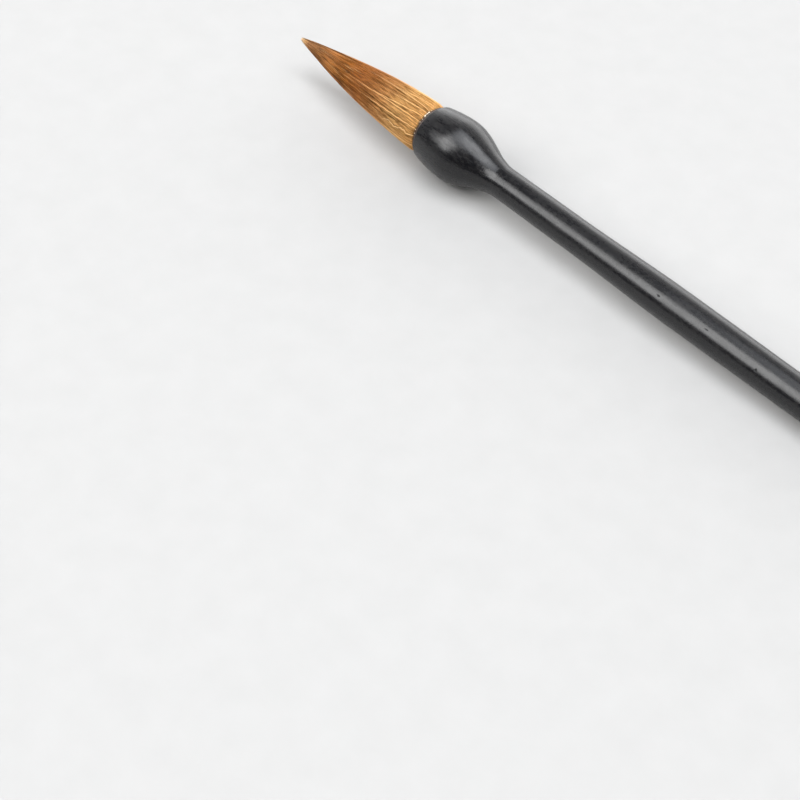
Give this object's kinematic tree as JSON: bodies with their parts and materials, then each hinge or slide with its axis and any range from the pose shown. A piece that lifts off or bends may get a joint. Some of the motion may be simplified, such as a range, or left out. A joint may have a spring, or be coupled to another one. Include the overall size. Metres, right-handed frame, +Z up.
{
  "type": "calligraphy brush",
  "caption": "Pointed golden-brown hair tuft in a black bulb-shaped cup on a slim turned black handle, for ink calligraphy and painting.",
  "frame": {"origin": "midway between the tip and the tail end, below the axis, on the plane that the cup's bulb touches", "axes": "+X along the brush from tip to tail, +Z up, +Y across"},
  "size_m": [0.27, 0.0174, 0.0175],
  "materials": {
    "ebony": "satin black lacquer over close-grained turned wood",
    "horn": "satin polished black horn",
    "hair_cover": "fine glossy golden-brown animal hair, paler towards root and tip",
    "hair_inner": "pale springy animal hair",
    "hair_root": "tightly bound hair roots",
    "thread": "waxed binding thread",
    "rosin": "burnt rosin",
    "glue": "clear amber glue"
  },
  "bodies": {
    "handle": {"ferrule_cup": "ebony", "handle_shaft": "ebony", "tail_cap": "horn", "core_root": "hair_root", "cover_root": "hair_root", "inner_binding": "thread", "outer_binding": "thread", "rosin_seal": "rosin", "socket_glue": "glue"},
    "tuft": {"hair_core": "hair_inner", "hair_lining": "hair_inner", "hair_cover": "hair_cover"}
  },
  "joints": [
    {"name": "tuft_bend", "type": "hinge", "parent": "handle", "child": "tuft", "pos_m": [-0.08868, 0, 0.00875], "axis": [0, 0, 1], "range_deg": [-30, 30], "stiffness_Nm_per_rad": 0.03}
  ]
}
